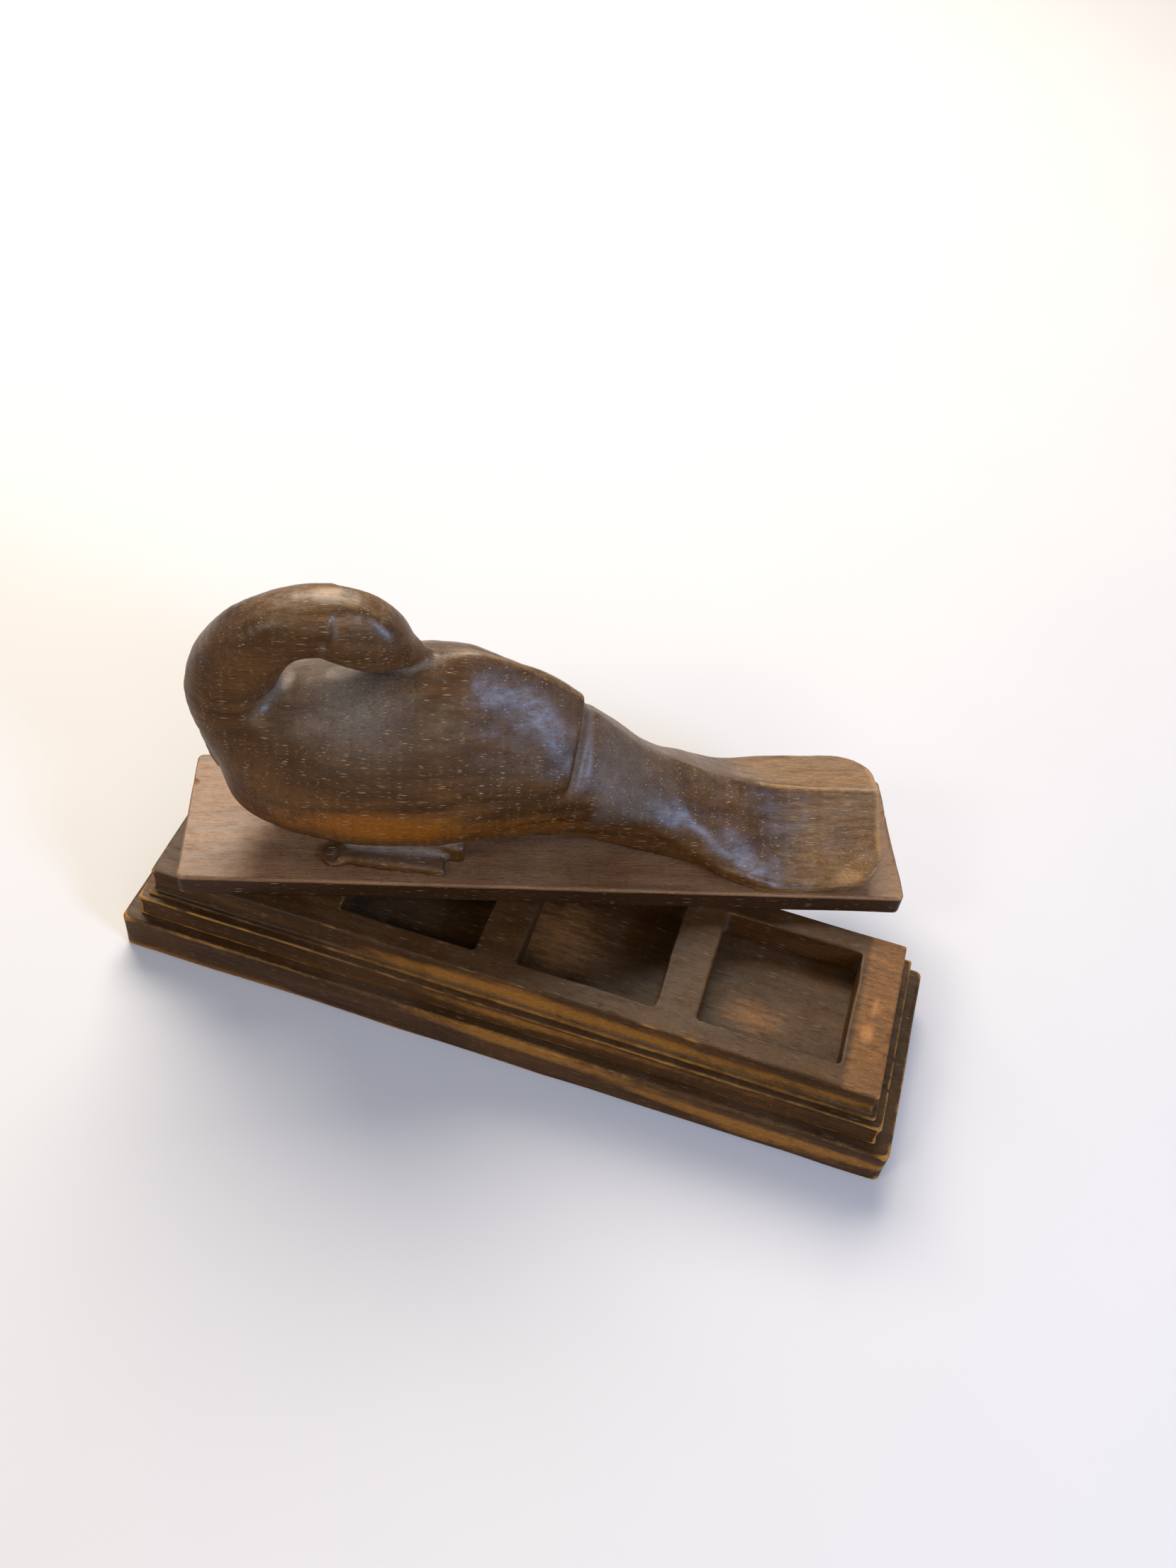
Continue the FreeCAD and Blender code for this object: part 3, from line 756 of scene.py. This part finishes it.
# %% Lid
LID_LENGTH, LID_WIDTH, LID_THICK, LID_OVERHANG = 156.9, 35.1, 5.5, 20.5
LID_CORNER = 1.5
lid_x, lid_y = LID_LENGTH / 2, LID_WIDTH / 2
lid_middle = lid_x - LID_OVERHANG
lid_chips = edge_chips(14, 12, lid_x, lid_y, 0.0)
flat_lid = board(lid_x, lid_y, -LID_THICK, 0.0, LID_CORNER, arris=0.55, cove=0.0, chips=lid_chips)


def lid_field(u, v, w):
    """The lid with its shallow dents."""
    dents = 0.16 * (mottle(u * 0.5, v, w, size=4.0) - 0.4)
    return flat_lid(u - lid_middle, v, w) + dents


lid_grid = board_grid(np.array([-lid_x, -lid_y, -LID_THICK]), np.array([lid_x, lid_y, 0.0]))
lid_grid[0] = lid_grid[0] + lid_middle


def lid_sides_painted_shade(u, v, w):
    """Painted shade: the lid's upright sides are darkened."""
    side = plan_distance(u - lid_middle, v, lid_x, lid_y, LID_CORNER)
    return rise(-w, 0.4, 1.2) * rise(side, -1.5, -0.5)


make_piece(
    "worn_lid_board", lid_field, lid_grid, lid_place, "lid", "lid_board", lid_wood,
    wear_at=1.1, hollow_at=0.5, amber=lid_sides_painted_shade,
)

# %% [markdown]
# The bird is the heart of the piece. Its body is a fat leaf shape that narrows to the rump,
# so it is described by sections: at each place along the bird, how wide it is and how high
# its widest line, back and belly are, and how pointed the section is above and below. Lines
# through those numbers give every section between. All its measures are in millimetres
# behind the pivot, across the lid and above the lid's top.

# %% Bird's body
# along, widest height, half width, back, belly, squareness above, squareness below
BODY_SECTIONS = np.array([
    (-11.3, 21.0, 2.0, 24.0, 18.0, 2.0, 2.0),
    (-8.8, 21.5, 7.5, 32.0, 11.0, 2.0, 2.0),
    (-2.8, 21.5, 12.5, 38.0, 5.8, 2.1, 2.0),
    (7.0, 21.5, 16.6, 42.7, 2.4, 2.1, 2.0),
    (20.0, 22.0, 18.5, 46.4, 1.6, 2.0, 2.1),
    (30.0, 22.5, 18.6, 49.8, 1.8, 1.85, 2.1),
    (38.0, 23.5, 18.0, 51.2, 2.8, 1.5, 2.1),
    (46.0, 24.5, 16.9, 48.6, 4.0, 1.3, 2.1),
    (54.0, 25.0, 15.4, 44.6, 4.6, 1.25, 2.2),
    (62.0, 23.5, 13.8, 39.0, 4.2, 1.25, 2.3),
    (70.0, 20.0, 12.7, 31.8, 3.0, 1.3, 2.7),
    (77.0, 15.2, 12.2, 25.8, 1.8, 1.35, 3.0),
    (84.0, 11.0, 12.6, 21.2, 0.8, 1.4, 3.0),
    (92.0, 6.6, 13.6, 16.6, -0.4, 1.4, 2.6),
    (100.0, 4.2, 12.5, 11.6, -1.0, 1.6, 2.0),
    (112.0, 1.0, 7.0, 4.0, -2.0, 1.8, 2.0),
])


def body_field(u, v, w):
    """The body without its neck, tail and wings."""
    lines = [through(u, BODY_SECTIONS[:, 0], BODY_SECTIONS[:, n]) for n in range(1, 7)]
    middle, half, back, belly, above, below = lines
    reach = np.where(w > middle, back - middle, middle - belly)
    square = np.where(w > middle, above, below)
    across, up = (np.abs(v) / half) ** square, (np.abs(w - middle) / reach) ** square
    ratio = (across + up + 1e-9) ** (1 / square)
    ends = np.maximum(BODY_SECTIONS[0, 0] - u, u - BODY_SECTIONS[-1, 0])
    return np.maximum((ratio - 1) * np.minimum(half, reach) * 0.9, ends)


print("body from", BODY_SECTIONS[0, 0], "to", BODY_SECTIONS[-1, 0], "mm behind the pivot")

# %% [markdown]
# The neck rises from the breast, loops back over the shoulders and ends in a small head whose
# beak rests on the back. It is a rope of round sections along a bent line: each station gives
# a place, a radius in the plane of the loop and a half width across it. The opening under the
# neck goes right through, as it does in the carving.

# %% Neck and head
# along, height, radius, half width
NECK_STATIONS = np.array([
    (2.0, 22.0, 11.2, 12.5),
    (-4.9, 32.5, 10.0, 10.4),
    (-7.7, 41.7, 8.9, 8.8),
    (-4.0, 50.0, 7.9, 7.9),
    (2.5, 56.0, 6.6, 7.0),
    (10.0, 58.0, 6.6, 7.0),
    (15.6, 57.0, 7.3, 7.5),
    (20.4, 54.4, 6.4, 6.5),
    (25.0, 51.9, 3.7, 4.1),
    (31.0, 49.6, 1.2, 1.4),
])


def bent_line(stations, steps=48):
    """Points of a smooth line through the stations."""
    ends = np.vstack([2 * stations[0] - stations[1], stations, 2 * stations[-1] - stations[-2]])
    at = np.linspace(0, len(stations) - 1, steps)
    i = np.minimum(at.astype(int), len(stations) - 2)
    t = (at - i)[:, None]
    p0, p1, p2, p3 = (ends[i + n] for n in range(4))
    return 0.5 * (2 * p1 + (p2 - p0) * t + (2 * p0 - 5 * p1 + 4 * p2 - p3) * t**2
                  + (3 * p1 - p0 - 3 * p2 + p3) * t**3)


NECK_LINE = bent_line(NECK_STATIONS)


SQUARENESS = 2.3


def neck_field(u, v, w):
    """The neck and head, with flat cheeks and a dent for each eye."""
    nearest = np.full(u.shape, 1e3)
    for here, there in zip(NECK_LINE[:-1], NECK_LINE[1:]):
        along = there[:2] - here[:2]
        part = np.clip(((u - here[0]) * along[0] + (w - here[1]) * along[1]) / (along @ along), 0, 1)
        off_u, off_w = u - here[0] - part * along[0], w - here[1] - part * along[1]
        radius = here[2] + part * (there[2] - here[2])
        half = here[3] + part * (there[3] - here[3])
        square = ((off_u**2 + off_w**2) / radius**2) ** 1.15 + np.abs(v / half) ** SQUARENESS
        nearest = np.minimum(nearest, (square ** (1 / SQUARENESS) - 1) * np.minimum(radius, half))
    cheek = np.abs(v) * 0.90 + (w - 56.0) * 0.40 + (u - 17) * 0.16 - 6.5
    cheek = cheek - 5 * (1 - rise(u, 9.5, 13.5))
    nearest = soft_max(nearest, cheek, 1.4)
    eye = spot(u, w, (11.4, 57.2), (1.9, 3.0)) * rise(np.abs(v), 2.0, 5)
    return nearest + 0.6 * eye


print("neck and head follow a line of", len(NECK_LINE), "points")

# %% [markdown]
# The tail is a low roof: two sloping faces meet in a ridge that runs back from the rump, and
# fan out to a square end with rounded corners. Its near rim almost touches the lid and lifts
# towards the end, and its underside is cut up and away.

# %% Tail
RIDGE_V, NEAR_V, FAR_V = 1.3, 16.8, 16.6
TAIL_START, TAIL_END = 84, 130.3


def tail_field(u, v, w):
    """The roof-shaped tail: ridge and rims are heights, the halves are widths."""
    ridge = through(u, [84, 93, 98, 106, 115, 130], [21, 17.1, 16.2, 15.0, 14.4, 14.6])
    near_rim = through(u, [84, 90, 97, 109, 120, 127, 131], [10.0, 7.2, 3.6, 0.9, 1.4, 3.4, 5.6])
    far_rim = through(u, [84, 97, 109, 120, 131], [11.0, 8.6, 8.4, 8.8, 9.8])
    near = ridge + (near_rim - ridge) * (RIDGE_V - v) / (RIDGE_V + NEAR_V)
    far = ridge + (far_rim - ridge) * (v - RIDGE_V) / (FAR_V - RIDGE_V)
    near = near - 0.9 * band(v, -8, 5.0) * rise(u, 98, 114)
    roof = soft_max((w - near) * 0.8, (w - far) * 0.93, 0.5)
    near_half = through(u, [84, 90, 97, 109, 125], [7.6, 11.6, 15.0, 16.8, 15.9])
    far_half = through(u, [84, 97, 109, 125], [11.0, 14.2, 16.2, 16.8])
    rim = np.where(v < RIDGE_V, near_rim, far_rim)
    undercut = 0.8 * np.maximum(rim - 1.2 - w, 0)
    side = np.maximum(-v - near_half, v - far_half) + undercut
    end, corner = u - TAIL_END, np.where(v > 0, 9.0, 5.5)
    both = (side > -corner) & (end > -corner)
    round_off = np.hypot(np.maximum(side + corner, 0), np.maximum(end + corner, 0)) - corner
    outline = np.where(both, round_off, np.maximum(side, end))
    thickness = 2.4 + 1.3 * np.maximum(0, 122 - u)
    under = (np.minimum(near, far) - thickness - w) * 0.85
    soft_rim = 0.6 + 3.0 * rise(-u, -108, -92)
    solid = soft_max(soft_max(roof, outline, soft_rim), under, 0.6)
    return soft_max(solid, TAIL_START - u, 4.0)


print("tail ridge stands", RIDGE_V, "mm to the far side")

# %% [markdown]
# One webbed foot shows on the near side: a thin slab with a round toe in front and the shank
# slanting back above it. A plain seat between belly and lid carries the bird.

# %% Foot and seat
SLAB_THICK, TOE_THICK, SEAT_HIGH = 2.3, 1.3, 7
FOOT_FRONT = 12


def foot_field(u, v, w):
    """The seat, the shank, and the slab of the foot with its toe."""
    seat_plan = np.hypot(np.maximum(np.abs(u - 19.0) - 10, 0), v - 1.5) - 6.0
    seat = np.maximum(seat_plan, w - SEAT_HIGH)
    middle_line = -10.4 - (u - FOOT_FRONT) * 0.07
    half = 2.4 + 0.045 * (u - FOOT_FRONT)
    slab_top = SLAB_THICK + 0.35 * (mottle(u, v, w, size=5.0) - 0.5)
    slab_plan = np.maximum(np.abs(u - 24.0) - 11.4, np.abs(v - middle_line) - half)
    slab = rounded_meet(slab_plan, w - slab_top, 1.2)
    toe = rounded_meet(np.hypot(u - 12.2, v + 11.0) - 2.9, w - TOE_THICK, 0.5)
    shank_top = 6.6 - 0.16 * (u - 28) - 0.20 * np.abs(v + 8)
    shank_side = -v - 11.3 + 0.10 * (39 - u)
    shank_plan = soft_max(np.abs(u - 27) - 12.7, shank_side, 1.5)
    shank = np.maximum(rounded_meet(shank_plan, w - shank_top, 0.9), v - 2)
    return soft_min(soft_min(seat, shank, 1.0), soft_min(slab, toe, 0.9), 1.2)


print("foot's slab is", SLAB_THICK, "mm thick")

# %% [markdown]
# The folded wings are a raised skin over the back. They fade in at the shoulder and stop at
# a crisp step above the rump, with a shallow groove cut behind it. Last, the whole figure is
# cut with small flats, the marks of the knife, which catch the light.

# %% Whole bird's shape
WING_RAISED, KNIFE_CUTS = 1.3, ((0.30, 7.0), (0.16, 2.6))


def wing_end(w):
    """How far back the wing's trailing step lies at each height."""
    return 62.6 - 0.216 * np.maximum(40.3 - w, 0)


def bird_field(u, v, w):
    """The whole bird: trunk with its wings, neck, foot and the knife's marks."""
    trunk = soft_min(body_field(u, v, w), tail_field(u, v, w), 4.0)
    ahead = wing_end(w) - u
    side = rise(w, 25, 31)
    parting = band(v, 2.2, 2.3) * (1 - rise(u, 42, 54))
    front = rise(u, 24.0, 46.0 + 16 * (1 - rise(w, 40, 48)) + 12 * rise(v, 0, 4))
    wing = rise(ahead, 0.0, 0.7) * front * side * (1 - parting)
    groove = band(ahead, -1.6, 1.3) * side
    trunk = trunk - WING_RAISED * wing + 0.5 * groove
    join = 1.0 + 5.5 * (1 - rise(w, 36, 46))
    figure = soft_min(trunk, neck_field(u, v, w), join)
    figure = soft_min(figure, foot_field(u, v, w), 1.2)
    cuts = sum(deep * (mottle(u, v, w, size) - 0.5) for deep, size in KNIFE_CUTS)
    return np.maximum(figure + cuts, -w)


print("wings stand", WING_RAISED, "mm proud and the knife's marks repeat every",
      [size for deep, size in KNIFE_CUTS], "mm")

# %% [markdown]
# The bird's colour tells how it was held. The crown, the tail's end and ridge, and the near corner
# of the tail are rubbed to pale wood. The pale strip along the back is partly worn and partly
# painted light from above, and the top of the head and neck and the tail's far face are painted
# paler as painted light. The warm amber low on the breast and flanks is thinner stain and partly
# painted warm reflected light. Grey dust lies behind the wings, and the grey in the dip under the
# neck and on the rump also paints a sheen. Each is a mask over the bird's own measures, painted on
# its points like the wear.

# %% Whole bird


def bird_bare(u, v, w):
    """Where hands have rubbed the stain off the bird, and where paler wood is painted as painted
    light.
    """
    crown = spot(u, v, (11, 1), (6, 3.5)) * (w > 58)
    tail_end = rise(u, 127.8, 130) * rise(v, -17, -8)
    near_corner = spot(u, v, (123, -14.5), (5, 2.2))
    ridge = 0.75 * band(v, RIDGE_V, 0.9) * rise(u, 96, 106)
    # Partly worn, partly painted light: the back's top strip is painted paler, as if lit from above.
    shoulder = 0.5 * band(v, -0.3, 1.0) * rise(u, 32, 36) * (u < 63)
    # Painted light: the tail's far face is painted paler where the light from high behind falls on
    # it.
    far_face = 0.55 * rise(v, 0, 4) * rise(u, 88, 104) * rise(w, 7, 10)
    near_face = 0.50 * rise(u, 96, 116) * rise(w, 0.5, 2.0)
    # Painted light: the top of the head and neck is painted paler where the light from above falls
    # on it.
    nape = 0.40 * rise(w, 57, 62)
    return np.maximum.reduce(
        [0.65 * crown, tail_end, 0.9 * near_corner, ridge, shoulder, far_face, near_face, nape]
    )


def bird_amber(u, v, w):
    """Warm amber low on the breast and flanks: thinner stain, and partly a painted warm reflected
    light.
    """
    # Partly painted light: this amber also paints warm light reflected onto the breast and low
    # flanks.
    breast = spot(u, w, (22, 19), (17, 6.0))
    flank = 0.48 * band(w, 17, 6.5) * (1 - rise(u, 54, 76))
    return np.maximum(breast, flank)


def bird_stained(u, v, w):
    """The foot and the belly, which no hand rubs, keep their stain at every edge."""
    return (1 - rise(w, 6, 10)) * (u < 80)


def bird_dust_and_sheen(u, v, w):
    """Grey dust behind the wing step, and a grey painted sheen on the rump and in the dip under the
    neck, which also holds dust.
    """
    groove = 0.75 * band(wing_end(w) - u, -1.9, 1.2) * rise(w, 25, 31)
    # Dust and painted sheen: the grey in the dip under the neck also paints its soft sheen.
    dip = 0.95 * spot(u, w, (17, 43), (11, 6.5))
    # Painted sheen: the grey on the rump paints the sheen of light on it.
    rump = 0.45 * rise(u, 64, 67) * (1 - rise(u, 74, 90)) * rise(w, 14, 20)
    return np.maximum.reduce([groove, dip, rump])


BIRD_STEP = 0.55
BIRD_SPAN = ((-18.5, 132.5), (-21.0, 21.0), (-1.0, 67.0))
bird_grid = [np.arange(low, high, BIRD_STEP) for low, high in BIRD_SPAN]
make_piece(
    "carved_bird", bird_field, bird_grid, lid_place, "lid", "bird_carving", bird_wood,
    wear_at=0.9, hollow_at=0.22, bare=bird_bare, amber=bird_amber, dust_and_sheen_at=bird_dust_and_sheen,
    stained=bird_stained, rounds=8,
)

# %% [markdown]
# The screws and the washer are shown as they are made. Their shapes come from the frame, and
# they get a dull metal finish with fine turning marks and a little tarnish.

# %% Metal finishes


TURNING_MARKS, TARNISH_SPOTS = (0.6, 0.6, 6.0), (0.4, 0.4, 0.4)
SCRATCH_DEEP = 0.00005  # metres


def metal_finish(name, colour, tarnish, gloss):
    """Turned metal, dulled by time."""
    metal = Shader(name)
    turned = metal.noise(TURNING_MARKS, 3.0, 0.6)
    stain = metal.noise(TARNISH_SPOTS, 4.0, 0.6)
    base = metal.mix(metal.step(stain, 0.4, 0.7), colour, tarnish)
    rough = gloss + 0.25 * stain + 0.1 * turned
    bump = metal.node(
        "ShaderNodeBump", {},
        {"Strength": 0.3, "Distance": SCRATCH_DEEP, "Height": turned + stain},
    )
    return metal.finish(base, rough.clamped(), bump, metallic=1.0)


steel = metal_finish("dull_steel", rgb(0.36, 0.35, 0.33), rgb(0.16, 0.12, 0.09), 0.34)
brass = metal_finish("dull_brass", rgb(0.55, 0.38, 0.16), rgb(0.26, 0.16, 0.07), 0.32)
for node, metal in (("pivot_screw", steel), ("carving_screws", steel), ("pivot_washer", brass)):
    part = frame["nodes"][node]
    part.data.materials.clear()
    part.data.materials.append(metal)
    print(node, "is finished in", metal.name)

# %% [markdown]
# The box stands on a plain pale floor, a large plane just under it with a faint paper grain.

# %% Floor
FLOOR_SIZE, FLOOR_GAP = 6.0, 0.0002  # metres
bpy.ops.mesh.primitive_plane_add(size=FLOOR_SIZE, location=(0, 0, -FLOOR_GAP))
floor = bpy.context.object
floor.name = "floor"
paper = Shader("pale_floor")
grain = paper.noise((0.02, 0.02, 0.02), 2.0)
pale = paper.mix(grain, rgb(0.50, 0.51, 0.53), rgb(0.52, 0.53, 0.55))
dimples = paper.node("ShaderNodeBump", {}, {"Strength": 0.02, "Height": grain})
floor.data.materials.append(paper.finish(pale, 0.7, dimples))
print("floor is", FLOOR_SIZE, "m wide")

# %% [markdown]
# Four soft panels light the box like a quiet studio. A large warm one high behind brightens
# everything that faces up. A small cool one on the right gives the bluish gleams on the wing,
# the cheek and the side of the tail. Two weak warm ones in front fill the near side.

# %% Light
world = bpy.data.worlds.new("studio")
scene.world = world
world.use_nodes = True
sky = world.node_tree.nodes["Background"].inputs
sky["Color"].default_value = rgb(1.0, 0.96, 0.90)
sky["Strength"].default_value = 0.26


def panel(name, place, aim, size, power, colour):
    """A soft rectangular light at a place, turned to its aim. Sizes in metres, power in watts."""
    light = bpy.data.lights.new(name, "AREA")
    light.shape = "RECTANGLE"
    light.size, light.size_y = size
    light.energy = power
    light.color = colour
    holder = bpy.data.objects.new(name, light)
    scene.collection.objects.link(holder)
    holder.rotation_euler = (Vector(place) - Vector(aim)).to_track_quat("Z", "Y").to_euler()
    holder.location = place
    print(name, "panel", size, "m,", power, "W")


panel("high_back", (-0.30, 0.62, 0.75), (0.0, 0.0, 0.03), (0.85, 0.50), 18.0, (1.0, 0.89, 0.76))
panel("cool_right", (0.72, -0.32, 0.46), (0.0, 0.0, 0.05), (0.24, 0.18), 6.2, (0.42, 0.60, 1.0))
panel("front_left", (-0.40, -0.60, 0.66), (0.0, 0.0, 0.05), (0.20, 0.20), 1.8, (1.0, 0.92, 0.80))
panel("warm_low", (0.35, -0.75, 0.40), (0.0, 0.0, 0.04), (0.5, 0.3), 2.5, (1.0, 0.74, 0.46))
scene.view_settings.view_transform = "Standard"

# %% [markdown]
# The worn pieces should fill the same space as the working parts, short of it only where wear has
# taken wood away.
